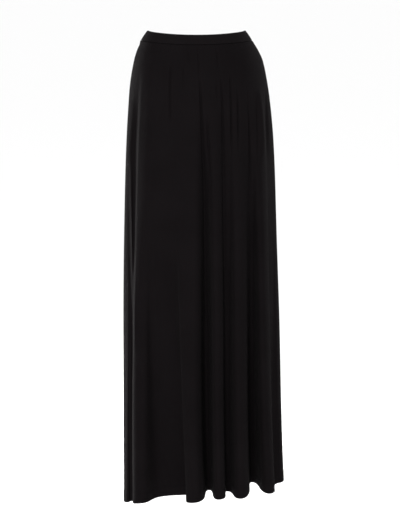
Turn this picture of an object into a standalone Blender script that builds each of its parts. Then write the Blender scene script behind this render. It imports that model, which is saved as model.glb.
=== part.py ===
"""Maxi skirt in jersey, hanging in its worn form.  Metres, +Z up, front faces -Y.

The origin is the middle of the waist.  Angles run from the front (0) to the +X side (90),
the back (180) and the -X side (270).
"""
import math

import bmesh
import bpy
import numpy as np

# ---- driving sizes ----
BAND_HEIGHT = 0.021          # upright height of the sloping 25 mm band
BAND_WALL = 0.003            # elastic with jersey over both faces
BAND_TOP_HALF = (0.1105, 0.083)      # half width, half depth of the top edge
BAND_FOOT_HALF = (0.1250, 0.0940)    # the same at the foot
BAND_FRONT_DIP = 0.005       # the band rides this much lower at the front than at the sides
BAND_BACK_DIP = 0.0155       # and this much lower in the small of the back
BAND_BACK_BOW = 1.3          # power of the dip at the back: 1 is a straight slope, 2 a round bow
BAND_EDGE_ROUND = 0.0009     # turned top and foot edges
BAND_COLUMNS = 96
SEAM_GAP = 0.0003            # the pieces stand this far apart at every seam
CLOTH_WALL = 0.0015
SKIRT_LENGTH = 1.030         # waist seam to hem at the front
FOLD_ONSET = 0.050           # above this drop no fold stands out
FOLD_FULL = 0.170            # from this drop every fold has its whole share
LEAN_EASE = 0.3              # power by which the fold walls lean over sooner than they deepen
PANEL_ROWS = 22
COLUMN_PITCH = 0.0165        # spacing of the mesh columns along the hem
FEWEST_COLUMNS = 5           # in the shortest fold wall

# ---- outline of the skirt body, by drop below the waist seam ----
SECTIONS = (
    # drop, half_width, half_depth, drift to +X
    (0.000, 0.1258, 0.0950, -0.0008),
    (0.009, 0.1294, 0.0980, 0.0012),
    (0.022, 0.1363, 0.1030, 0.0021),
    (0.045, 0.1450, 0.1090, 0.0039),
    (0.090, 0.1538, 0.1165, 0.0045),
    (0.135, 0.1591, 0.1220, 0.0056),
    (0.226, 0.1664, 0.1290, 0.0072),
    (0.363, 0.1723, 0.1350, 0.0086),
    (0.595, 0.1785, 0.1410, 0.0103),
    (0.829, 0.1819, 0.1460, 0.0122),
    (1.019, 0.1861, 0.1500, 0.0165),
    (1.060, 0.1878, 0.1505, 0.0176),
)

# ---- hem, by angle: how far it hangs below or above the front ----
HEM_SAG = (
    # degrees, extra drop
    (0, -0.004), (12, -0.0085), (27, -0.006), (37, -0.010), (55, -0.0025), (70, -0.006),
    (92, -0.0125), (112, -0.006), (135, 0.003), (180, 0.011), (225, 0.022), (250, 0.033),
    (270, 0.037), (294, 0.030), (304, 0.0215), (336, 0.0065), (353, -0.001), (360, -0.004),
)

# ---- fullness: each row is a trough and the rounded fold that follows it ----
FOLDS = (
    # name, trough at waist, at hem, fold at waist, at hem, start, depth, heading, wall before, after, tube
    ("left_front", -59.5, -63.4, -54.2, -58.0, -0.25, 0.038, 0, 0.28, -0.02, 0.4),
    ("front_sweep", -27.0, -18.0, -5.0, -6.4, 0.34, 0.084, -14, -0.14, 0.26, 0.7),
    ("front_middle", 3.4, 3.2, 12.0, 11.0, 0.09, 0.098, 0, 0.24, 0.06, 0.7),
    ("front_second", 20.0, 17.4, 31.0, 28.0, 0.09, 0.070, 3, 0.24, 0.04, 0.7),
    ("front_third", 42.0, 37.4, 54.0, 57.0, 0.16, 0.112, 2, 0.24, 0.16, 0.6),
    ("right_front", 66.0, 66.0, 90.0, 93.0, 0.05, 0.022, 50, 0.34, 0.00, 0.6),
    ("right_back", 112.0, 111.0, 128.0, 126.0, 0.14, 0.046, 103, 0.12, 0.20, 0.7),
    ("back_first", 141.0, 141.5, 152.0, 155.0, 0.20, 0.062, 156, 0.22, 0.10, 0.6),
    ("back_second", 166.0, 167.5, 178.0, 179.0, 0.10, 0.086, 174, 0.24, 0.14, 0.8),
    ("back_middle", 187.0, 189.5, 200.0, 202.0, 0.24, 0.094, 184, 0.12, 0.26, 0.8),
    ("back_third", 214.0, 215.0, 227.0, 228.0, 0.12, 0.066, 202, 0.18, 0.10, 0.7),
    ("left_back", 240.0, 242.0, 254.0, 253.0, 0.30, 0.052, 232, 0.10, 0.22, 0.7),
    ("left_side", 260.0, 262.0, 270.0, 270.0, 0.36, 0.018, 262, 0.10, 0.10, 0.6),
)


def smooth_table(rows, at):
    """Values of a table at one place, on a curve with no corners at its rows."""
    keys = [row[0] for row in rows]
    values = np.array([row[1:] for row in rows], dtype=float)
    at = min(max(at, keys[0]), keys[-1])
    upper = max(1, next(i for i, key in enumerate(keys) if at <= key))
    lower = upper - 1
    span = keys[upper] - keys[lower]

    def slope(i):
        before, after = max(i - 1, 0), min(i + 1, len(keys) - 1)
        return (values[after] - values[before]) / (keys[after] - keys[before])

    t = (at - keys[lower]) / span
    return ((2 * t**3 - 3 * t**2 + 1) * values[lower] + (t**3 - 2 * t**2 + t) * span * slope(lower)
            + (3 * t**2 - 2 * t**3) * values[upper] + (t**3 - t**2) * span * slope(upper))


def ease(share):
    """A share from 0 to 1 with a soft start and end."""
    return share * share * (3 - 2 * share)


def fold_lines(drop):
    """The lines of the folds and troughs round the skirt at one drop, in order of angle."""
    settled_in = ease(min(max((drop - FOLD_ONSET) / (FOLD_FULL - FOLD_ONSET), 0.0), 1.0))
    lines = [{"angle": (FOLDS[-1][3] - 360, FOLDS[-1][4] - 360)}]
    for row in FOLDS:
        _, trough_top, trough_hem, crest_top, crest_hem, start, depth, heading, before, after, tube = row
        grown = min(max((drop - start) / (SKIRT_LENGTH - start), 0.0), 1.0)
        fade = (0.8 * grown + 0.2 * ease(grown)) * settled_in
        leant = fade**LEAN_EASE
        lines.append({"angle": (trough_top, trough_hem), "inset": depth * fade, "heading": heading,
                      "before": before * leant, "after": after * leant, "tube": tube})
        lines.append({"angle": (crest_top, crest_hem)})
    for line in lines:
        top, hem = line["angle"]
        line["angle"] = top + (hem - top) * drop / SKIRT_LENGTH
    return lines


def outline_point(angle, drop):
    """Point of the smooth outline at an angle, before any fold."""
    half_width, half_depth, drift = smooth_table(SECTIONS, drop)
    turn = math.radians(angle)
    return drift + half_width * math.sin(turn), -half_depth * math.cos(turn)


def wall_point(lines, i, along, drop):
    """Point of the cloth between line i and the next, along from 0 to 1.

    Even lines are the outer edges of folds and odd ones the bottoms of troughs.
    """
    trough = lines[i + 1] if i % 2 == 0 else lines[i]
    lean = trough["before"] if i % 2 == 0 else -trough["after"]
    tube = trough["tube"] * min(1.5 * drop / SKIRT_LENGTH, 1.0)
    sweep = (along + lean * math.sin(math.pi * along)
             + tube * math.sin(2 * math.pi * along) / (2 * math.pi))
    deep = (1 - math.cos(math.pi * along)) / 2
    inset = trough["inset"] * (deep if i % 2 == 0 else 1 - deep)
    angle = lines[i]["angle"] + (lines[i + 1]["angle"] - lines[i]["angle"]) * sweep
    x, y = outline_point(angle, drop)
    turn = math.radians(trough["heading"])
    return x - inset * math.sin(turn), y + inset * math.cos(turn), angle


def column_plan():
    """Mesh columns shared out between the walls by their length at the hem."""
    lines = fold_lines(SKIRT_LENGTH)
    plan = []
    for i in range(len(lines) - 1):
        trail = [wall_point(lines, i, k / 12, SKIRT_LENGTH)[:2] for k in range(13)]
        length = sum(math.dist(a, b) for a, b in zip(trail, trail[1:]))
        count = max(FEWEST_COLUMNS, round(length / COLUMN_PITCH))
        plan += [(i, k / count) for k in range(count)]
    return plan


def band_dip(angle):
    """How far the waist rides lower at this angle than at the sides."""
    facing = math.cos(math.radians(angle))
    if facing > 0:
        return BAND_FRONT_DIP * facing**2
    return BAND_BACK_DIP * (-facing)**BAND_BACK_BOW


def row_drops():
    """Drops of the mesh rows: close together under the band, wider below."""
    steps = np.linspace(0, 1, PANEL_ROWS + 1)
    return [SKIRT_LENGTH * (0.35 * s**2.2 + 0.65 * s) for s in steps]


def skirt_grid():
    """Outer face of the whole skirt: points [row, column, xyz], and the line each column is in."""
    plan = column_plan()
    grid = np.zeros((PANEL_ROWS + 1, len(plan), 3))
    for r, drop in enumerate(row_drops()):
        lines = fold_lines(drop)
        for c, (i, along) in enumerate(plan):
            x, y, angle = wall_point(lines, i, along, drop)
            sag = smooth_table(HEM_SAG, angle % 360)[0] * drop / SKIRT_LENGTH
            grid[r, c] = x, y, -BAND_HEIGHT / 2 - SEAM_GAP - band_dip(angle) - drop - sag
    return grid, [i for i, along in plan]


def unit(vectors):
    """The same directions at length 1."""
    return vectors / np.linalg.norm(vectors, axis=2, keepdims=True)


def grid_directions(grid):
    """Unit directions round the skirt and out of the cloth at every point of the grid."""
    ahead = unit(np.roll(grid, -1, axis=1) - grid)
    round_way = unit(ahead + np.roll(ahead, 1, axis=1))
    outward = unit(np.cross(np.gradient(grid, axis=0), round_way))
    return round_way, outward


def new_object(name, mesh_builder, colour, collection):
    """Make a named object with its own plain material."""
    mesh = bpy.data.meshes.new(name)
    work = bmesh.new()
    mesh_builder(work)
    bmesh.ops.recalc_face_normals(work, faces=work.faces)
    work.to_mesh(mesh)
    work.free()
    obj = bpy.data.objects.new(name, mesh)
    collection.objects.link(obj)
    material = bpy.data.materials.new(name + "_cloth")
    material.use_nodes = True
    shader = material.node_tree.nodes["Principled BSDF"]
    shader.inputs["Base Color"].default_value = (*colour, 1)
    shader.inputs["Roughness"].default_value = 0.9
    material.diffuse_color = (*colour, 1)
    mesh.materials.append(material)
    return obj


def make_panel(name, first, last, colour, collection):
    """Cut one panel out of the skirt between two columns and give it the cloth's wall."""
    grid, _ = skirt_grid()
    round_way, outward = grid_directions(grid)
    columns = [c % grid.shape[1] for c in range(first, last + 1)]
    outer = grid[:, columns]
    outer[:, 0] += round_way[:, columns[0]] * SEAM_GAP / 2
    outer[:, -1] -= round_way[:, columns[-1]] * SEAM_GAP / 2
    inner = outer - outward[:, columns] * CLOTH_WALL

    def build(work):
        skin = [[work.verts.new(p) for p in row] for row in outer]
        back = [[work.verts.new(p) for p in row] for row in inner]
        for wall in (skin, back):
            for upper, lower in zip(wall, wall[1:]):
                for i in range(len(upper) - 1):
                    work.faces.new((upper[i], lower[i], lower[i + 1], upper[i + 1]))
        rim = [(skin[0], back[0]), (skin[-1], back[-1])]
        rim += [([row[e] for row in skin], [row[e] for row in back]) for e in (0, -1)]
        for a, b in rim:
            for i in range(len(a) - 1):
                work.faces.new((a[i], a[i + 1], b[i + 1], b[i]))

    return new_object(name, build, colour, collection)


def band_profile():
    """Closed section of the band as (way out from the inner face, way up from the foot)."""
    r = BAND_EDGE_ROUND
    return (
        (r, 0.0), (BAND_WALL - r, 0.0), (BAND_WALL, r), (BAND_WALL, BAND_HEIGHT / 2),
        (BAND_WALL, BAND_HEIGHT - r), (BAND_WALL - r, BAND_HEIGHT), (r, BAND_HEIGHT),
        (0.0, BAND_HEIGHT - r), (0.0, BAND_HEIGHT / 2), (0.0, r),
    )


def make_band(name, colour, collection):
    """Carry the band section round the waist."""
    profile = band_profile()

    def build(work):
        rings = []
        for i in range(BAND_COLUMNS):
            angle = 360 * i / BAND_COLUMNS
            turn = math.radians(angle)
            ring = []
            for out, up in profile:
                share = up / BAND_HEIGHT
                half = [foot + (top - foot) * share - BAND_WALL + out
                        for foot, top in zip(BAND_FOOT_HALF, BAND_TOP_HALF)]
                z = -BAND_HEIGHT / 2 + up - band_dip(angle)
                ring.append(work.verts.new((half[0] * math.sin(turn), -half[1] * math.cos(turn), z)))
            rings.append(ring)
        for i, ring in enumerate(rings):
            after = rings[(i + 1) % BAND_COLUMNS]
            for j in range(len(profile)):
                k = (j + 1) % len(profile)
                work.faces.new((ring[j], ring[k], after[k], after[j]))

    return new_object(name, build, colour, collection)


def main():
    """Clear the scene and build the three pieces of the skirt."""
    for old in list(bpy.data.objects):
        bpy.data.objects.remove(old)
    skirt = bpy.data.collections.new("maxi_skirt")
    bpy.context.scene.collection.children.link(skirt)
    lines = skirt_grid()[1]
    seam = lines.index(2 * [row[0] for row in FOLDS].index("right_front") + 2)
    make_panel("front_panel", 0, seam, (0.030, 0.028, 0.030), skirt)
    make_panel("back_panel", seam, len(lines), (0.024, 0.022, 0.024), skirt)
    make_band("waistband", (0.036, 0.034, 0.036), skirt)


main()
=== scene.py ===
# %% [markdown]
# # A maxi skirt in black jersey
#
# This lesson dresses a finished frame.  The frame holds the three cut pieces of a skirt
# as plain walls: a front panel, a back panel and a waistband.  Each cell below makes one
# of them again as cloth, with its gathers, turned edges, stitches and knitted surface.
# Every size is in metres, +Z is up and the front of the skirt faces -Y.

# %% Load the frame
import math

import bpy
import numpy as np
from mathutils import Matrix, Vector


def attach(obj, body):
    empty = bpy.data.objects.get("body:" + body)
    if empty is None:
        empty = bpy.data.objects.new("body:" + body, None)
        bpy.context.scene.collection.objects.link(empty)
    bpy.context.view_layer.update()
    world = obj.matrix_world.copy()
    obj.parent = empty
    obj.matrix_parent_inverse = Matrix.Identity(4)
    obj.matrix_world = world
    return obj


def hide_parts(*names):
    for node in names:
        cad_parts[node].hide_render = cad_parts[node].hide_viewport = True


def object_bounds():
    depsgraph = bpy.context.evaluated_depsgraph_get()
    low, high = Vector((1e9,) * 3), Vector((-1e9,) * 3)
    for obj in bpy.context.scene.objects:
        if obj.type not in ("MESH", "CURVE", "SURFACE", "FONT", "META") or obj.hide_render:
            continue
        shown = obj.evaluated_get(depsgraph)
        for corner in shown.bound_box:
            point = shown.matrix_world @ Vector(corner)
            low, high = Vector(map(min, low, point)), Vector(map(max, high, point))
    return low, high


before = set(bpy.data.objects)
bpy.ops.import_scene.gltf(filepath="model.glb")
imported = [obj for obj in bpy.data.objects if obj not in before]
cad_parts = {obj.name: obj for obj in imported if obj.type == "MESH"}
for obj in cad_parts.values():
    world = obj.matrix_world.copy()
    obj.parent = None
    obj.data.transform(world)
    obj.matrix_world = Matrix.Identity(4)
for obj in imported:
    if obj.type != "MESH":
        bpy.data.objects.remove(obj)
cad_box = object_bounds()
print("frame box", cad_box)

# %% [markdown]
# ## Camera
#
# A product camera stands five metres away, a little above the waist, and looks slightly
# down, so that the hem shows how far each fold comes forward.  A long lens keeps the
# sides of the skirt nearly upright.  Sensor fit is set to the width of the picture.

# %% Camera
PICTURE_WIDTH = 400
LENS_IN_PICTURE_UNITS = 2213.0
SENSOR = 36.0
CAMERA_PLACE = (0.008, -5.0, 0.2792)
CAMERA_TILT = 9.1  # degrees down
camera_data = bpy.data.cameras.new("product_camera")
camera_data.sensor_fit = "HORIZONTAL"
camera_data.sensor_width = SENSOR
camera_data.lens = LENS_IN_PICTURE_UNITS * SENSOR / PICTURE_WIDTH
camera = bpy.data.objects.new("product_camera", camera_data)
camera.location = CAMERA_PLACE
camera.rotation_euler = (math.radians(90 - CAMERA_TILT), 0, 0)
bpy.context.scene.collection.objects.link(camera)
bpy.context.scene.camera = camera
print("lens", round(camera_data.lens, 1), "mm")

# %% [markdown]
# ## Studio
#
# Black cloth is shown by what it reflects.  A white room lights it evenly from all
# sides, and the inside of each fold goes dark because it sees less of that room.  The
# floor is one plain pale plane a little below the hem.  A curved backdrop would do as
# well, but a plane this large needs no shaping and runs out of every view.

# %% World and floor
ROOM_BRIGHTNESS = 1.05
FLOOR_DROP = 0.16
FLOOR_SIZE = 160
FLOOR_WHITE = 0.93
FLOOR_ROUGHNESS = 0.9
world = bpy.data.worlds.new("white_room")
bpy.context.scene.world = world
world.use_nodes = True
room = world.node_tree.nodes["Background"]
room.inputs["Color"].default_value = (1, 1, 1, 1)
room.inputs["Strength"].default_value = ROOM_BRIGHTNESS
bpy.context.scene.view_settings.view_transform = "Standard"


def make_floor(size, height):
    """A plain pale floor, large enough to run out of every view."""
    mesh = bpy.data.meshes.new("studio_floor")
    half = size / 2
    corners = [(x * half, y * half, height) for x, y in ((-1, -1), (1, -1), (1, 1), (-1, 1))]
    mesh.from_pydata(corners, [], [(0, 1, 2, 3)])
    floor = bpy.data.objects.new("studio_floor", mesh)
    bpy.context.scene.collection.objects.link(floor)
    paint = bpy.data.materials.new("pale_floor_paint")
    paint.use_nodes = True
    shader = paint.node_tree.nodes["Principled BSDF"]
    shader.inputs["Base Color"].default_value = (FLOOR_WHITE, FLOOR_WHITE, FLOOR_WHITE, 1)
    shader.inputs["Roughness"].default_value = FLOOR_ROUGHNESS
    mesh.materials.append(paint)


make_floor(FLOOR_SIZE, cad_box[0][2] - FLOOR_DROP)
print("floor", round(FLOOR_DROP * 1000), "mm below the hem")

# %% [markdown]
# ## Lights
#
# Three soft rectangles model the folds.  The key light stands in front, above the camera
# and a little to the left.  A tall strip behind the skirt on the left draws a thin bright
# line along the folds that face it, and a nearer and much weaker one answers it on the
# right.  A sun or a bare lamp would cut hard shadows into soft cloth.

# %% Lights
LIGHTS = (
    # name, place, the point it faces, width and height, watts
    ("left_strip", (-2.0, 1.8, -0.7), (0, 0, -0.6), (0.6, 1.4), 170),
    ("right_strip", (1.3, 1.0, 0.0), (0.1, 0, -0.2), (0.4, 0.8), 19),
    ("front_key", (-0.45, -4.3, 1.6), (0, 0, -0.4), (0.9, 0.9), 198),
)


def soft_light(name, place, aim, size, power):
    """A rectangular soft light that faces a point."""
    data = bpy.data.lights.new(name, "AREA")
    data.shape = "RECTANGLE"
    data.size, data.size_y = size
    data.energy = power
    lamp = bpy.data.objects.new(name, data)
    lamp.location = place
    lamp.rotation_euler = (Vector(aim) - Vector(place)).to_track_quat("-Z", "Y").to_euler()
    bpy.context.scene.collection.objects.link(lamp)


for light in LIGHTS:
    soft_light(*light)
print(len(LIGHTS), "soft lights")

# %% [markdown]
# ## The pattern
#
# The skirt is a flared tube.  A short table gives its smooth outline at a few drops
# below the waist seam, and a second one gives every large fold: where its trough starts,
# how deep it is at the hem and how upright its walls are.  Functions turn the tables
# into points.  A simulation could drape the cloth too, but a table puts each fold where
# it belongs and gives the same skirt every time.

# %% Outline and folds
BAND_HEIGHT = 0.021  # upright height of the sloping band
BAND_WALL = 0.003
BAND_TOP_HALF = (0.1105, 0.0830)  # half width and half depth of its top edge
BAND_FOOT_HALF = (0.1250, 0.0940)  # and of its foot
BAND_FRONT_DIP = 0.005  # how far it rides lower at the front than at the sides
BAND_BACK_DIP = 0.0155
BAND_BACK_BOW = 1.3  # 1 is a straight slope to the back, 2 a round bow
SEAM_GAP = 0.0003
SKIRT_LENGTH = 1.030
FOLD_ONSET, FOLD_FULL = 0.050, 0.170  # drops between which the folds settle in
STRAIGHT_GROWTH = 0.8  # share of a fold's growth that is even, the rest eases in and out
LEAN_EASE = 0.3  # the fold walls lean over sooner than they deepen
TUBE_GROWTH = 1.5  # the folds are fully round at two thirds of the length
SECTIONS = (
    # drop, half_width, half_depth, drift to +X
    (0.000, 0.1258, 0.0950, -0.0008),
    (0.009, 0.1294, 0.0980, 0.0012),
    (0.022, 0.1363, 0.1030, 0.0021),
    (0.045, 0.1450, 0.1090, 0.0039),
    (0.090, 0.1538, 0.1165, 0.0045),
    (0.135, 0.1591, 0.1220, 0.0056),
    (0.226, 0.1664, 0.1290, 0.0072),
    (0.363, 0.1723, 0.1350, 0.0086),
    (0.595, 0.1785, 0.1410, 0.0103),
    (0.829, 0.1819, 0.1460, 0.0122),
    (1.019, 0.1861, 0.1500, 0.0165),
    (1.060, 0.1878, 0.1505, 0.0176),
)
HEM_SAG = (
    # degrees, extra drop
    (0, -0.004), (12, -0.0085), (27, -0.006), (37, -0.010), (55, -0.0025), (70, -0.006),
    (92, -0.0125), (112, -0.006), (135, 0.003), (180, 0.011), (225, 0.022), (250, 0.033),
    (270, 0.037), (294, 0.030), (304, 0.0215), (336, 0.0065), (353, -0.001), (360, -0.004),
)
FOLDS = (
    # name, trough in degrees at the waist and at the hem, fold at the waist and at the hem,
    # first drop, depth, heading, lean of the wall before and after, roundness
    ("left_front", -59.5, -63.4, -54.2, -58.0, -0.25, 0.038, 0, 0.28, -0.02, 0.4),
    ("front_sweep", -27.0, -18.0, -5.0, -6.4, 0.34, 0.084, -14, -0.14, 0.26, 0.7),
    ("front_middle", 3.4, 3.2, 12.0, 11.0, 0.09, 0.098, 0, 0.24, 0.06, 0.7),
    ("front_second", 20.0, 17.4, 31.0, 28.0, 0.09, 0.070, 3, 0.24, 0.04, 0.7),
    ("front_third", 42.0, 37.4, 54.0, 57.0, 0.16, 0.112, 2, 0.24, 0.16, 0.6),
    ("right_front", 66.0, 66.0, 90.0, 93.0, 0.05, 0.022, 50, 0.34, 0.00, 0.6),
    ("right_back", 112.0, 111.0, 128.0, 126.0, 0.14, 0.046, 103, 0.12, 0.20, 0.7),
    ("back_first", 141.0, 141.5, 152.0, 155.0, 0.20, 0.062, 156, 0.22, 0.10, 0.6),
    ("back_second", 166.0, 167.5, 178.0, 179.0, 0.10, 0.086, 174, 0.24, 0.14, 0.8),
    ("back_middle", 187.0, 189.5, 200.0, 202.0, 0.24, 0.094, 184, 0.12, 0.26, 0.8),
    ("back_third", 214.0, 215.0, 227.0, 228.0, 0.12, 0.066, 202, 0.18, 0.10, 0.7),
    ("left_back", 240.0, 242.0, 254.0, 253.0, 0.30, 0.052, 232, 0.10, 0.22, 0.7),
    ("left_side", 260.0, 262.0, 270.0, 270.0, 0.36, 0.018, 262, 0.10, 0.10, 0.6),
)


def table_curve(rows, at):
    """Columns of a table at an array of places, on a curve with no corners."""
    keys = np.array([row[0] for row in rows], dtype=float)
    values = np.array([row[1:] for row in rows], dtype=float)
    slopes = np.gradient(values, keys, axis=0)
    slopes[1:-1] = (values[2:] - values[:-2]) / (keys[2:] - keys[:-2])[:, None]
    at = np.clip(at, keys[0], keys[-1])
    low = np.clip(np.searchsorted(keys, at) - 1, 0, len(keys) - 2)
    span = (keys[low + 1] - keys[low])[..., None]
    t = (at[..., None] - keys[low][..., None]) / span
    return ((2 * t**3 - 3 * t**2 + 1) * values[low] + (t**3 - 2 * t**2 + t) * span * slopes[low]
            + (3 * t**2 - 2 * t**3) * values[low + 1] + (t**3 - t**2) * span * slopes[low + 1])


def ease(share):
    """A share from 0 to 1 with a soft start and end."""
    return share * share * (3 - 2 * share)


def fold_lines(drop):
    """Angle, inset, heading, wall shapes and tube of every fold line at one drop."""
    settled_in = ease(min(max((drop - FOLD_ONSET) / (FOLD_FULL - FOLD_ONSET), 0.0), 1.0))

    def between(top, hem):
        return top + (hem - top) * drop / SKIRT_LENGTH

    lines = [(between(FOLDS[-1][3] - 360, FOLDS[-1][4] - 360), 0, 0, 0, 0, 0)]
    for _, *trough, crest_top, crest_hem, start, depth, heading, before, after, tube in FOLDS:
        grown = min(max((drop - start) / (SKIRT_LENGTH - start), 0.0), 1.0)
        eased = STRAIGHT_GROWTH * grown + (1 - STRAIGHT_GROWTH) * ease(grown)
        fade = eased * settled_in
        leant = fade**LEAN_EASE
        lines.append((between(*trough), depth * fade, heading, before * leant, after * leant, tube))
        lines.append((between(crest_top, crest_hem), 0, 0, 0, 0, 0))
    return np.array(lines)


def cloth_row(drop, line, along):
    """x, y and outline angle of the mesh columns at one drop."""
    lines = fold_lines(drop)
    into = line % 2 == 0
    trough = lines[np.where(into, line + 1, line)]
    lean = np.where(into, trough[:, 3], -trough[:, 4])
    tube = trough[:, 5] * min(TUBE_GROWTH * drop / SKIRT_LENGTH, 1.0)
    sweep = (along + lean * np.sin(math.pi * along)
             + tube * np.sin(2 * math.pi * along) / (2 * math.pi))
    deep = (1 - np.cos(math.pi * along)) / 2
    inset = trough[:, 1] * np.where(into, deep, 1 - deep)
    angle = lines[line, 0] + (lines[line + 1, 0] - lines[line, 0]) * sweep
    half_width, half_depth, drift = table_curve(SECTIONS, np.array([drop]))[0]
    turn, heading = np.radians(angle), np.radians(trough[:, 2])
    x = drift + half_width * np.sin(turn) - inset * np.sin(heading)
    y = -half_depth * np.cos(turn) + inset * np.cos(heading)
    return x, y, angle


def column_plan(pitch, fewest):
    """Mesh columns shared out between the fold walls by their length at the hem."""
    line, along = [], []
    trial = np.linspace(0, 1, 25)
    for i in range(2 * len(FOLDS)):
        x, y, _ = cloth_row(SKIRT_LENGTH, np.full(len(trial), i), trial)
        length = np.hypot(np.diff(x), np.diff(y)).sum()
        count = max(fewest, round(length / pitch))
        line += [i] * count
        along += [k / count for k in range(count)]
    return np.array(line), np.array(along)


def band_dip(angle):
    """How far the waist rides lower at this angle than at the sides."""
    facing = np.cos(np.radians(angle))
    back = BAND_BACK_DIP * np.clip(-facing, 0, 1) ** BAND_BACK_BOW
    return np.where(facing > 0, BAND_FRONT_DIP * facing**2, back)


print(len(FOLDS), "large folds, waist seam", round(math.pi * sum(SECTIONS[0][1:3]), 2), "m round")

# %% [markdown]
# ## Gathers and small creases
#
# The elastic draws the cloth together, so short soft creases leave the waist seam and
# die out over the hips.  Each row of this table is one crease: where it lies, where it
# starts and ends, how deep it is and how wide.  They are pressed in square to the cloth,
# so they also bend with the folds that they meet.  Two long tucks lie in the narrow
# hollow of the left fold, where there is no room for that: they come straight forward.
# Sculpting could draw the same lines, but a table can be read and changed.

# %% Crease tables
CREASE_FADE = 0.7  # below 1, a crease keeps its depth nearly to its ends
CREASES = (
    # degrees at its start and at its end, first and last drop, depth (less than 0 is a
    # ridge), width in degrees before and after its line
    (-25.2, -23.6, 0.040, 0.178, 0.0048, 0.68, 0.88),
    (-13.2, -12.4, 0.045, 0.095, 0.0019, 0.60, 0.80),
    (-8.2, -8.2, 0.012, 0.045, 0.0018, 0.60, 0.80),
    (0.8, 0.2, 0.003, 0.075, 0.0019, 0.60, 0.88),
    (1.0, 3.0, 0.070, 0.330, 0.0067, 0.68, 1.12),
    (2.8, 3.4, 0.230, 0.640, 0.0060, 0.68, 1.28),
    (5.8, 8.2, 0.155, 0.370, 0.0053, 0.60, 0.96),
    (19.5, 16.8, 0.005, 0.052, 0.0017, 0.60, 0.80),
    (15.2, 15.0, 0.078, 0.124, 0.0022, 0.60, 0.80),
    (19.4, 18.4, 0.068, 0.310, 0.0065, 0.68, 1.12),
    (18.6, 17.8, 0.240, 0.600, 0.0060, 0.68, 1.28),
    (28.2, 24.2, 0.068, 0.240, 0.0060, 0.68, 0.96),
    (33.6, 31.2, 0.098, 0.236, 0.0060, 0.68, 0.96),
    (44.2, 40.0, 0.098, 0.370, 0.0067, 0.68, 1.12),
    (55.0, 49.6, 0.115, 0.270, 0.0050, 0.68, 1.12),
    (60.5, 57.0, 0.105, 0.270, -0.0042, 3.00, 4.40),
    (72.5, 67.0, 0.110, 0.270, 0.0038, 2.80, 2.80),
    (112.0, 111.0, 0.060, 0.300, 0.0054, 0.68, 1.12),
    (122.0, 119.0, 0.090, 0.240, 0.0043, 0.68, 0.96),
    (139.0, 141.0, 0.070, 0.360, 0.0065, 0.68, 1.20),
    (146.5, 147.5, 0.110, 0.250, 0.0048, 0.60, 0.88),
    (157.0, 158.0, 0.050, 0.150, 0.0038, 0.60, 0.80),
    (164.5, 167.0, 0.075, 0.400, 0.0067, 0.68, 1.20),
    (172.0, 170.5, 0.120, 0.290, 0.0048, 0.60, 0.96),
    (180.5, 181.0, 0.040, 0.110, 0.0024, 0.60, 0.80),
    (187.5, 189.0, 0.085, 0.420, 0.0065, 0.68, 1.28),
    (195.0, 194.0, 0.060, 0.200, 0.0043, 0.60, 0.88),
    (206.0, 207.5, 0.045, 0.170, 0.0046, 0.68, 0.88),
    (214.5, 215.0, 0.070, 0.330, 0.0067, 0.68, 1.12),
    (221.0, 219.5, 0.120, 0.260, 0.0048, 0.60, 0.96),
    (240.0, 241.0, 0.110, 0.420, 0.0053, 0.68, 1.20),
    (249.5, 248.0, 0.060, 0.210, 0.0036, 0.68, 0.96),
)
LEFT_TUCKS = (
    # the same columns, with how far each comes forward in place of the depth
    (-66.5, -57.6, 0.250, 0.680, 0.0110, 3.00, 2.60),
    (-64.2, -63.4, 0.400, 1.400, 0.0100, 5.60, 2.40),
)


def crease_depth(table, angle, drop):
    """How far a table of creases moves the cloth, over a grid of angles and drops."""
    press = np.zeros_like(angle)
    for start_angle, end_angle, first, last, depth, before, after in table:
        t = np.clip((drop - first) / (last - first), 0, 1)
        away = (angle - start_angle - (end_angle - start_angle) * t + 180) % 360 - 180
        width = np.where(away < 0, before, after)
        press += depth * np.sin(math.pi * t) ** CREASE_FADE * np.exp(-(away / width) ** 2)
    return press


print(len(CREASES), "creases and", len(LEFT_TUCKS), "long tucks")

# %% [markdown]
# ## The cloth as a grid
#
# The panels are one grid of points, so they meet in line at the side seams.  Rows lie
# close together at the waist seam, where the cloth turns in under the band, and at the
# hem, where it is turned up double.  Long soft waves about a millimetre high keep the
# cloth from looking machined, and fine ripples gather it under the band.  All of them
# are sums of sines, so they close up round the waist and come out the same every time.

# %% Grid of the skirt
COLUMN_PITCH = 0.0030
FEWEST_COLUMNS = 4  # in the shortest fold wall
WAIST_ROWS = (0.0, 0.0008, 0.0018, 0.003, 0.0045, 0.0065, 0.009)  # drops below the seam
BODY_ROWS = 96
BODY_FROM, BODY_TO = 0.012, SKIRT_LENGTH - 0.027
ROW_STRETCH = 0.45  # above 0, the body rows lie closer together at the waist
HEM_ROWS = (0.0235, 0.0225, 0.0215, 0.014, 0.007, 0.003, 0.001, 0.0)  # up from the hem
HEM_TURNING = 0.022
HEM_STEP = 0.0005  # how far the double hem stands out
SEAM_TUCK, SEAM_TUCK_REACH = 0.0010, 0.0014
RIGHT_SEAM_LINE = 2 * [row[0] for row in FOLDS].index("right_front") + 2


def row_drops():
    """Drops of the mesh rows below the waist seam."""
    step = np.linspace(0, 1, BODY_ROWS)
    share = (1 - ROW_STRETCH) * step + ROW_STRETCH * step * step
    body = BODY_FROM + (BODY_TO - BODY_FROM) * share
    return np.concatenate([WAIST_ROWS, body, [SKIRT_LENGTH - up for up in HEM_ROWS]])


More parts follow.
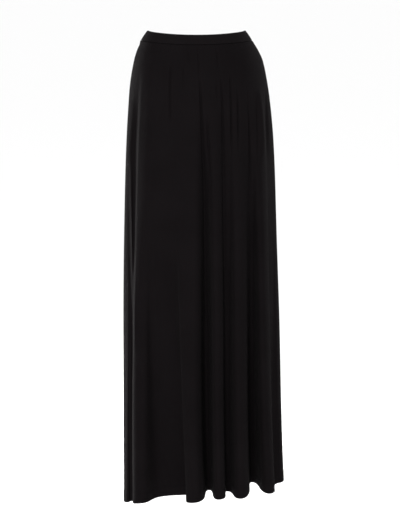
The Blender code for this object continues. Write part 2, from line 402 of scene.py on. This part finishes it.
SWELL_HEIGHT = 0.0007
SWELL_FULL, SWELL_LEAST = 0.15, 0.15  # drop of its full height, and its share at the waist
SWELLS = (
    # share, waves round the skirt, radians a metre down, offset
    (1.0, 5, 6.1, 0.6), (0.8, 9, -4.3, 2.1), (0.6, 14, 8.7, 4.0), (0.5, 3, 11.0, 1.3),
)


def soft_waves(angle, drop):
    """Long uneven swells of the cloth, in metres out."""
    a, d = np.radians(angle), drop[:, None]
    swell = sum(share * np.sin(count * a + down * d + offset)
                for share, count, down, offset in SWELLS)
    return SWELL_HEIGHT * swell * np.clip(d / SWELL_FULL, SWELL_LEAST, 1.0)


def wandering_waves(rows, turn):
    """Sum of waves round the waist, in radians, whose spacing wanders."""
    return sum(share * np.sin(count * turn + wander * np.sin(slow * turn + offset))
               for share, count, wander, slow, offset in rows)


GATHER_HEIGHT, GATHER_REACH, GATHER_FADE = 0.00018, 0.022, 1.5
# share, waves round the waist, how far their spacing wanders, how often, offset
GATHER_WAVES = ((1.0, 83, 2.2, 6, 0), (0.6, 59, 1.8, 9, 1))
GATHER_REACH_WAVES = ((0.6, 17, 2.0, 5, 0),)


def seam_gathers(angle, drop):
    """Fine ripples that the elastic draws up under the band, in metres out."""
    a, d = np.radians(angle), drop[:, None]
    reach = GATHER_REACH * (1 + wandering_waves(GATHER_REACH_WAVES, a))
    return GATHER_HEIGHT * wandering_waves(GATHER_WAVES, a) * np.exp(-(d / reach) ** GATHER_FADE)


def out_of_cloth(grid):
    """Unit directions out of the cloth at every point of a closed grid."""
    round_way = np.roll(grid, -1, axis=1) - np.roll(grid, 1, axis=1)
    outward = np.cross(np.gradient(grid, axis=0), round_way)
    return outward / np.linalg.norm(outward, axis=2, keepdims=True)


def skirt_grid():
    """Outer face of the skirt: points [row, column, xyz], angles, fold lines and drops."""
    line, along = column_plan(COLUMN_PITCH, FEWEST_COLUMNS)
    drops = row_drops()
    rows = [cloth_row(drop, line, along) for drop in drops]
    x, y, angle = (np.array([row[k] for row in rows]) for k in range(3))
    sag = table_curve(HEM_SAG, angle % 360)[..., 0] * (drops / SKIRT_LENGTH)[:, None]
    z = -BAND_HEIGHT / 2 - SEAM_GAP - band_dip(angle) - drops[:, None] - sag
    y -= crease_depth(LEFT_TUCKS, angle, drops[:, None])
    grid = np.stack([x, y, z], axis=2)
    press = crease_depth(CREASES, angle, drops[:, None])
    press -= soft_waves(angle, drops) + seam_gathers(angle, drops)
    press += (SEAM_TUCK * np.exp(-(drops / SEAM_TUCK_REACH) ** 2))[:, None]
    press -= (HEM_STEP * (drops > SKIRT_LENGTH - HEM_TURNING))[:, None]
    return grid - out_of_cloth(grid) * press[..., None], angle, line, drops


cloth, cloth_angle, cloth_line, cloth_drop = skirt_grid()
print("grid", cloth.shape[0], "rows by", cloth.shape[1], "columns")

# %% [markdown]
# ## Jersey
#
# Jersey is a plain knit: columns of small V stitches.  They are far finer than a fold, so
# they are made in the material, from a UV map that counts metres of cloth across and
# down.  Two waves give the V: a ridge for each column, and courses that bend with it.
# The same height paints shade into the hollows of the knit and a highlight onto its
# ridges, in the colour, and bends the light too, since black cloth hardly shows relief
# alone.  Its loose fibres catch light at a glancing angle, which is what sheen is for.
# Real loops of yarn would take millions of faces.

# %% Jersey material
WALE, COURSE = 0.0009, 0.0007  # width of a column of stitches, height of a row


def wire(tree, kind, operation=None, **values):
    """Add a node, set its operation and its unlinked inputs, and link the linked ones."""
    node = tree.nodes.new(kind)
    if operation:
        node.operation = operation
    for key, value in values.items():
        socket = node.inputs[int(key[1:])] if key[0] == "i" else node.inputs[key]
        if isinstance(value, bpy.types.NodeSocket):
            tree.links.new(value, socket)
        else:
            socket.default_value = value
    return node.outputs[0]


COURSE_BEND = 1.6  # how far the rows dip between the columns, in radians of a row
LOOP_SHARE = 0.5  # height of the rows against the columns


def knit_height(tree):
    """Height of the knitted face from the cloth's own map."""
    chart = tree.nodes.new("ShaderNodeUVMap")
    chart.uv_map = "metres_of_cloth"
    split = tree.nodes.new("ShaderNodeSeparateXYZ")
    tree.links.new(chart.outputs["UV"], split.inputs[0])
    wale = wire(tree, "ShaderNodeMath", "MULTIPLY", i0=split.outputs[0], i1=2 * math.pi / WALE)
    ridge = wire(tree, "ShaderNodeMath", "COSINE", i0=wale)
    course = wire(tree, "ShaderNodeMath", "MULTIPLY", i0=split.outputs[1], i1=2 * math.pi / COURSE)
    bent = wire(tree, "ShaderNodeMath", "MULTIPLY_ADD", i0=ridge, i1=COURSE_BEND, i2=course)
    loops = wire(tree, "ShaderNodeMath", "SINE", i0=bent)
    return wire(tree, "ShaderNodeMath", "MULTIPLY_ADD", i0=loops, i1=LOOP_SHARE, i2=ridge)


JERSEY_BLACK = (0.0040, 0.0033, 0.0036)
BAND_LIGHTER = 1.15  # stretched over the elastic, the knit lets more of it through
DYE_CLOUD = {"Scale": 9.0, "Detail": 3.0, "Roughness": 0.5}  # patches of about a hand's breadth
DYE_PLACES, DYE_SHARES = (0.3, 0.7), (0.9, 1.1)
# Painted shade darkens the hollows of the knit in the colour, and a painted highlight lightens its
# ridges.
KNIT_PAINTED_SHADE_AND_HIGHLIGHT = (0.55, 1.45)  # how dark the hollows of the knit are, and how light its ridges
KNIT_RELIEF, KNIT_DEPTH = 0.4, 0.00025
JERSEY_FINISH = {
    "Roughness": 0.9,
    "Specular IOR Level": 0.01,
    "Sheen Weight": 0.006,
    "Sheen Roughness": 0.35,
    "Sheen Tint": (1.0, 0.93, 0.95, 1),
}


def make_jersey(name, colour):
    """Matte black jersey, with its knit, its fibres, a slight unevenness of the dye, and painted
    shade and highlight on the knit.
    """
    material = bpy.data.materials.new(name)
    material.use_nodes = True
    tree = material.node_tree
    shader = tree.nodes["Principled BSDF"]
    place = tree.nodes.new("ShaderNodeTexCoord").outputs["Object"]
    knit = knit_height(tree)
    cloud = wire(tree, "ShaderNodeTexNoise", Vector=place, **DYE_CLOUD)
    dye = tree.nodes.new("ShaderNodeValToRGB")
    for stop, position, share in zip(dye.color_ramp.elements, DYE_PLACES, DYE_SHARES):
        stop.position = position
        stop.color = (*(c * share for c in colour), 1)
    tree.links.new(cloud, dye.inputs[0])
    peak = 1 + LOOP_SHARE
    # Painted shade in the hollows of the knit and painted highlight on its ridges, scaled into the
    # colour.
    painted_knit_light = wire(tree, "ShaderNodeMapRange", i0=knit, i1=-peak, i2=peak,
                 i3=KNIT_PAINTED_SHADE_AND_HIGHLIGHT[0], i4=KNIT_PAINTED_SHADE_AND_HIGHLIGHT[1])
    colour_with_painted_knit_light = wire(tree, "ShaderNodeVectorMath", "SCALE", i0=dye.outputs[0], i3=painted_knit_light)
    tree.links.new(colour_with_painted_knit_light, shader.inputs["Base Color"])
    relief = tree.nodes.new("ShaderNodeBump")
    relief.inputs["Strength"].default_value = KNIT_RELIEF
    relief.inputs["Distance"].default_value = KNIT_DEPTH
    tree.links.new(knit, relief.inputs["Height"])
    tree.links.new(relief.outputs[0], shader.inputs["Normal"])
    for socket, value in JERSEY_FINISH.items():
        shader.inputs[socket].default_value = value
    return material


jersey = make_jersey("black_jersey", JERSEY_BLACK)
band_jersey = make_jersey("black_jersey_over_elastic",
                          tuple(BAND_LIGHTER * c for c in JERSEY_BLACK))
print("jersey wales every", WALE * 1000, "mm")

# %% [markdown]
# ## Panels
#
# Each panel is cut out of the grid between two fold lines and closed round its edge, so
# that it is a real wall with an inside.  Its edges stand a hair apart at the side seams
# and roll in slightly, as a sewn edge does, and the wall is thicker where the hem is
# turned up double.  A Solidify modifier gives a wall too, but it would need a group of
# weighted points to thicken the hem, and would leave no say in how the edges close.

# %% Front and back panels
CLOTH_WALL = 0.0015
HEM_TURN_WALL = 0.0010  # what the turned hem adds inside
SEAM_ROLL, SEAM_ROLL_WIDTH = 0.0009, 0.0025


def wall_mesh(name, outer, inner, chart, ring=False):
    """Closed wall between two grids of the same size, with a map in metres of cloth."""
    rows, columns = outer.shape[:2]
    index = np.arange(rows * columns).reshape(rows, columns)
    half = index.size
    if ring:
        index = np.hstack([index, index[:, :1]])
    skin = np.stack([index[:-1, :-1], index[1:, :-1], index[1:, 1:], index[:-1, 1:]], axis=2)
    faces = [skin.reshape(-1, 4), skin.reshape(-1, 4)[:, ::-1] + half]
    edges = [(index[0], 0), (index[-1], 1)]
    if not ring:
        edges += [(index[:, 0], 1), (index[:, -1], 0)]
    for edge, flip in edges:
        rim = np.stack([edge[:-1], edge[1:], edge[1:] + half, edge[:-1] + half], axis=1)
        faces.append(rim[:, ::-1] if flip else rim)
    faces = np.concatenate(faces)
    points = np.concatenate([outer.reshape(-1, 3), inner.reshape(-1, 3)])
    mesh = bpy.data.meshes.new(name)
    mesh.from_pydata(points.tolist(), [], faces.tolist())
    layer = mesh.uv_layers.new(name="metres_of_cloth")
    places = np.tile(chart.reshape(-1, 2), (2, 1))[faces.ravel()]
    layer.data.foreach_set("uv", places.ravel())
    mesh.polygons.foreach_set("use_smooth", np.ones(len(faces), dtype=bool))
    return mesh


def cut_panel(name, first, last, material, node):
    """One panel between two columns of the grid, with its turned edges."""
    columns = np.arange(first, last + 1) % cloth.shape[1]
    outer = cloth[:, columns].copy()
    outward = out_of_cloth(cloth)[:, columns]
    steps = np.linalg.norm(np.diff(outer, axis=1), axis=2)
    across = np.concatenate([np.zeros((len(outer), 1)), np.cumsum(steps, axis=1)], axis=1)
    from_edge = np.minimum(across, across[:, -1:] - across)
    outer -= outward * (SEAM_ROLL * np.exp(-(from_edge / SEAM_ROLL_WIDTH) ** 2))[..., None]
    for edge, beside in ((0, 1), (-1, -2)):
        step = outer[:, beside] - outer[:, edge]
        outer[:, edge] += step / np.linalg.norm(step, axis=1, keepdims=True) * SEAM_GAP / 2
    down = np.repeat(-cloth_drop[:, None], len(columns), axis=1)
    chart = np.stack([across - across[:, -1:] / 2, down], axis=2)
    turned = cloth_drop > SKIRT_LENGTH - HEM_TURNING
    wall = CLOTH_WALL + HEM_TURN_WALL * turned[:, None, None]
    mesh = wall_mesh(name, outer, outer - outward * wall, chart)
    panel = bpy.data.objects.new(name, mesh)
    bpy.context.scene.collection.objects.link(panel)
    mesh.materials.append(material)
    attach(panel, "root")
    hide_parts(node)
    print(name, len(mesh.polygons) * 2, "triangles, width at waist and hem",
          round(across[0, -1], 3), round(across[-1, -1], 3))
    return panel


seam_column = int(np.flatnonzero(cloth_line == RIGHT_SEAM_LINE)[0])
front = cut_panel("front_of_skirt", 0, seam_column, jersey, "front_panel")
back = cut_panel("back_of_skirt", seam_column, cloth.shape[1], jersey, "back_panel")

# %% [markdown]
# ## Waistband
#
# A flat elastic is folded into a strip of the same jersey and sewn to the top of the
# skirt.  The cloth over it is a little wider than the elastic, so it puckers finely.
# The band is a section carried round the waist: soft edges, and a face with a slight
# crown.  A bevelled curve could carry it too, but only with the same slope all round,
# and the real band leans in more at the sides than at the front.

# %% Waistband
BAND_COLUMNS = 480
BAND_EDGE_STEPS, BAND_FACE_STEPS = 5, 9
BAND_FOOT_ROUND = 0.0007
BAND_CROWN = 0.0004  # how far the middle of its face stands out, and half as much inside
BAND_GIRTH = 0.66  # metres of cloth round it, for the map
BAND_CLOSING = 0.001  # and across the last face of its section
PUCKER_HEIGHT = 0.00018
PUCKER_WAVES = ((1.0, 61, 2.0, 7, 0), (0.7, 97, 1.7, 5, 0))


def band_section():
    """Closed section as pairs of way out from the inner face and way up from the foot."""
    r, s = BAND_WALL / 2, BAND_FOOT_ROUND
    turn = np.linspace(0, math.pi, 2 * BAND_EDGE_STEPS + 1)
    climb = np.linspace(r, BAND_HEIGHT - r, BAND_FACE_STEPS)
    crown = BAND_CROWN * np.sin(math.pi * (climb - r) / (BAND_HEIGHT - 2 * r))
    foot = [((s if math.cos(t) > 0 else BAND_WALL - s) - s * math.cos(t), s - s * math.sin(t))
            for t in turn]
    top = [(r + r * math.cos(t), BAND_HEIGHT - r + r * math.sin(t)) for t in turn[1:-1]]
    outer = list(zip(BAND_WALL + crown, climb))
    inner = list(zip(-0.5 * crown[::-1], climb[::-1]))
    return np.array(foot + outer + top + inner)


def make_waistband():
    """Carry the section round the waist and pucker the cloth on its outer face."""
    section = band_section()
    angle = np.linspace(0, 360, BAND_COLUMNS, endpoint=False)
    turn = np.radians(angle)[:, None]
    out, up = section[:, 0][None], section[:, 1][None]
    face = np.sin(math.pi * np.clip(up / BAND_HEIGHT, 0, 1)) * (out > BAND_WALL / 2)
    out = out + PUCKER_HEIGHT * wandering_waves(PUCKER_WAVES, turn) * face
    half = [foot + (top - foot) * up / BAND_HEIGHT - BAND_WALL + out
            for foot, top in zip(BAND_FOOT_HALF, BAND_TOP_HALF)]
    points = np.stack([half[0] * np.sin(turn), -half[1] * np.cos(turn),
                       up - BAND_HEIGHT / 2 - band_dip(angle)[:, None] + 0 * turn], axis=2)
    ring, count = len(angle), len(section)
    index = np.arange(ring * count).reshape(ring, count)
    ahead = np.roll(index, -1, axis=0)
    faces = np.stack([index, ahead, np.roll(ahead, -1, axis=1), np.roll(index, -1, axis=1)], axis=2)
    mesh = bpy.data.meshes.new("covered_waistband")
    mesh.from_pydata(points.reshape(-1, 3).tolist(), [], faces.reshape(-1, 4).tolist())
    round_waist = np.arange(ring + 1) / ring * BAND_GIRTH
    down_face = np.concatenate([[0], np.cumsum(np.hypot(*np.diff(section, axis=0).T))])
    down_face = np.append(down_face, down_face[-1] + BAND_CLOSING)
    i, j = np.meshgrid(np.arange(ring), np.arange(count), indexing="ij")
    chart = np.stack([np.stack([round_waist[i + a], down_face[j + b]], axis=2)
                      for a, b in ((0, 0), (1, 0), (1, 1), (0, 1))], axis=2)
    layer = mesh.uv_layers.new(name="metres_of_cloth")
    layer.data.foreach_set("uv", chart.ravel())
    mesh.polygons.foreach_set("use_smooth", np.ones(ring * count, dtype=bool))
    return mesh


band_mesh = make_waistband()
waistband = bpy.data.objects.new("covered_waistband", band_mesh)
bpy.context.scene.collection.objects.link(waistband)
band_mesh.materials.append(band_jersey)
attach(waistband, "root")
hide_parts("waistband")
print("waistband", len(band_mesh.polygons) * 2, "triangles")

# %% [markdown]
# ## Seam allowances
#
# The cut edges are overlocked together and pressed flat on the inside.  A narrow strip
# lies behind each side seam, on the back panel, and another lies against the inside of
# the band.  Each strip is made from the points of what it lies on, moved in, so it bends
# with the folds and closes the seam behind the hairline between the panels.

# %% Seam allowances
ALLOWANCE_WALL = 0.0011
ALLOWANCE_CLEAR = 0.0004
SIDE_ALLOWANCE = (-0.0012, 0.0, 0.0015, 0.0045, 0.0070)  # across, from the seam to the back
WAIST_ALLOWANCE = (0.0065, 0.0040, 0.0015, -0.0010, -0.0030, -0.0050)  # up from the band's foot
COLUMNS_BEFORE, COLUMNS_AFTER = 3, 17  # the columns of the grid that the side strip reads
UNDER_BAND, UNDER_BAND_REACH = 0.0026, 0.007  # how far its top moves in, and over what drop
TURNED_IN = 0.0045  # above this drop it keeps one direction


def side_allowance(seam, way):
    """Points and outward directions of the strip behind a side seam; way leads to the back."""
    columns = (seam + way * np.arange(-COLUMNS_BEFORE, COLUMNS_AFTER)) % cloth.shape[1]
    points, outward = cloth[:, columns], out_of_cloth(cloth)[:, columns]
    level = int(np.searchsorted(cloth_drop, TURNED_IN))
    outward[:level] = outward[level]
    steps = np.linalg.norm(np.diff(points, axis=1), axis=2)
    reach = np.concatenate([np.zeros((len(steps), 1)), np.cumsum(steps, axis=1)], axis=1)
    reach -= reach[:, [COLUMNS_BEFORE]]

    def at_steps(values):
        return np.array([[np.interp(SIDE_ALLOWANCE, reach[r], values[r, :, k]) for k in range(3)]
                         for r in range(len(values))]).transpose(0, 2, 1)

    points, outward = at_steps(points), at_steps(outward)
    under_band = UNDER_BAND * np.exp(-(cloth_drop / UNDER_BAND_REACH) ** 2)
    points -= outward * (CLOTH_WALL + SEAM_ROLL + ALLOWANCE_CLEAR + under_band)[:, None, None]
    return points[:, ::way], outward[:, ::way]


def waist_allowance():
    """Points and outward directions of the strip inside the foot of the band."""
    turn = np.radians(cloth_angle[:1])
    up = np.array(WAIST_ALLOWANCE)[:, None]
    wide, deep = (foot + (top - foot) * up / BAND_HEIGHT - BAND_WALL - ALLOWANCE_CLEAR
                  for foot, top in zip(BAND_FOOT_HALF, BAND_TOP_HALF))
    z = up - BAND_HEIGHT / 2 - band_dip(np.degrees(turn))
    points = np.stack([wide * np.sin(turn), -deep * np.cos(turn), z], axis=2)
    outward = np.stack([deep * np.sin(turn), -wide * np.cos(turn), 0 * z], axis=2)
    return points, outward / np.linalg.norm(outward, axis=2, keepdims=True)


def make_allowance(name, points, outward, ring=False):
    """One strip of seam allowance as a closed wall in jersey."""
    chart = np.zeros((*points.shape[:2], 2))
    chart[:, 1:, 0] = np.linalg.norm(np.diff(points, axis=1), axis=2).cumsum(axis=1)
    chart[1:, :, 1] = -np.linalg.norm(np.diff(points, axis=0), axis=2).cumsum(axis=0)
    mesh = wall_mesh(name, points, points - outward * ALLOWANCE_WALL, chart, ring)
    strip = bpy.data.objects.new(name, mesh)
    bpy.context.scene.collection.objects.link(strip)
    mesh.materials.append(jersey)
    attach(strip, "root")
    print(name, len(mesh.polygons) * 2, "triangles")
    return strip


waist_strip = make_allowance("waist_seam_allowance", *waist_allowance(), ring=True)
side_strips = [make_allowance("left_seam_allowance", *side_allowance(0, -1)),
               make_allowance("right_seam_allowance", *side_allowance(seam_column, 1))]

# %% [markdown]
# ## Hem stitches
#
# Jersey hems are sewn with a twin needle: two close rows of short stitches that hold the
# turned edge and still stretch.  A Geometry Nodes tree walks along each row, sets a
# stitch every three millimetres and turns it along the row.

# %% Hem stitches
STITCH_PITCH = 0.0030
STITCH_SHARE = 0.72  # of the pitch, the rest is the gap
STITCH_SIDES, STITCH_RINGS = 6, 4


def stitch_tree(material):
    """Geometry Nodes tree that sews a row of stitches along the edges of a mesh."""
    tree = bpy.data.node_groups.new("row_of_stitches", "GeometryNodeTree")
    face = tree.interface
    face.new_socket("Geometry", in_out="INPUT", socket_type="NodeSocketGeometry")
    face.new_socket("Stitch pitch", in_out="INPUT", socket_type="NodeSocketFloat")
    face.new_socket("Thread", in_out="INPUT", socket_type="NodeSocketFloat")
    face.new_socket("Geometry", in_out="OUTPUT", socket_type="NodeSocketGeometry")
    add, link = tree.nodes.new, tree.links.new
    source, result = add("NodeGroupInput"), add("NodeGroupOutput")
    path = add("GeometryNodeMeshToCurve")
    link(source.outputs[0], path.inputs["Mesh"])
    spaced = add("GeometryNodeResampleCurve")
    spaced.mode = "LENGTH"
    link(path.outputs[0], spaced.inputs["Curve"])
    link(source.outputs[1], spaced.inputs["Length"])
    bead = add("GeometryNodeMeshUVSphere")
    bead.inputs["Segments"].default_value = STITCH_SIDES
    bead.inputs["Rings"].default_value = STITCH_RINGS
    bead.inputs["Radius"].default_value = 0.5
    tangent = add("GeometryNodeInputTangent")
    turn = add("FunctionNodeAlignRotationToVector")
    turn.axis = "X"
    link(tangent.outputs[0], turn.inputs["Vector"])
    length = wire(tree, "ShaderNodeMath", "MULTIPLY", i0=source.outputs[1], i1=STITCH_SHARE)
    size = add("ShaderNodeCombineXYZ")
    link(length, size.inputs[0])
    link(source.outputs[2], size.inputs[1])
    link(source.outputs[2], size.inputs[2])
    sewn = add("GeometryNodeInstanceOnPoints")
    link(spaced.outputs[0], sewn.inputs["Points"])
    link(bead.outputs[0], sewn.inputs["Instance"])
    link(turn.outputs[0], sewn.inputs["Rotation"])
    link(size.outputs[0], sewn.inputs["Scale"])
    real = add("GeometryNodeRealizeInstances")
    link(sewn.outputs[0], real.inputs[0])
    painted = add("GeometryNodeSetMaterial")
    painted.inputs["Material"].default_value = material
    link(real.outputs[0], painted.inputs["Geometry"])
    link(painted.outputs[0], result.inputs[0])
    return tree


THREAD_BLACK = (0.0050, 0.0042, 0.0046)
THREAD_FINISH = {"Roughness": 0.75, "Specular IOR Level": 0.03}
TWIST = {"Scale": 900.0, "Detail": 1.0}
TWIST_SHARES = (0.7, 1.3)


def make_thread(name, colour):
    """Matte polyester thread with a faint twist."""
    material = bpy.data.materials.new(name)
    material.use_nodes = True
    tree = material.node_tree
    shader = tree.nodes["Principled BSDF"]
    for socket, value in THREAD_FINISH.items():
        shader.inputs[socket].default_value = value
    place = tree.nodes.new("ShaderNodeTexCoord").outputs["Object"]
    twist = wire(tree, "ShaderNodeTexNoise", Vector=place, **TWIST)
    ply = tree.nodes.new("ShaderNodeValToRGB")
    for stop, share in zip(ply.color_ramp.elements, TWIST_SHARES):
        stop.color = (*(c * share for c in colour), 1)
    tree.links.new(twist, ply.inputs[0])
    tree.links.new(ply.outputs[0], shader.inputs["Base Color"])
    return material


THREAD = 0.00045
THREAD_PROUD = 0.35  # share of the thread that its middle stands above the cloth
STITCH_ROWS = (0.0185, 0.0210)  # up from the hem


def sew_rows(name, first, last, tree):
    """Both rows of hem stitches on one panel, as one plain mesh."""
    columns = np.arange(first, last + 1) % cloth.shape[1]
    outward = out_of_cloth(cloth)
    points, edges = [], []
    for up in STITCH_ROWS:
        drop = SKIRT_LENGTH - up
        low = int(np.searchsorted(cloth_drop, drop)) - 1
        share = (drop - cloth_drop[low]) / (cloth_drop[low + 1] - cloth_drop[low])
        row = cloth[low, columns] * (1 - share) + cloth[low + 1, columns] * share
        row = row + outward[low, columns] * THREAD * THREAD_PROUD
        start = len(points)
        points += row.tolist()
        edges += [(k, k + 1) for k in range(start, start + len(row) - 1)]
    guide_mesh = bpy.data.meshes.new(name + "_guide")
    guide_mesh.from_pydata(points, edges, [])
    guide = bpy.data.objects.new(name + "_guide", guide_mesh)
    bpy.context.scene.collection.objects.link(guide)
    modifier = guide.modifiers.new("sewing", "NODES")
    modifier.node_group = tree
    sockets = {item.name: item.identifier for item in tree.interface.items_tree
               if item.item_type == "SOCKET" and item.in_out == "INPUT"}
    modifier[sockets["Stitch pitch"]] = STITCH_PITCH
    modifier[sockets["Thread"]] = THREAD
    graph = bpy.context.evaluated_depsgraph_get()
    mesh = bpy.data.meshes.new_from_object(guide.evaluated_get(graph))
    mesh.name = name
    bpy.data.objects.remove(guide)
    stitches = bpy.data.objects.new(name, mesh)
    bpy.context.scene.collection.objects.link(stitches)
    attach(stitches, "root")
    print(name, len(mesh.polygons), "faces")
    return stitches


sewing = stitch_tree(make_thread("black_thread", THREAD_BLACK))
front_stitches = sew_rows("front_hem_stitches", 0, seam_column, sewing)
back_stitches = sew_rows("back_hem_stitches", seam_column, cloth.shape[1], sewing)
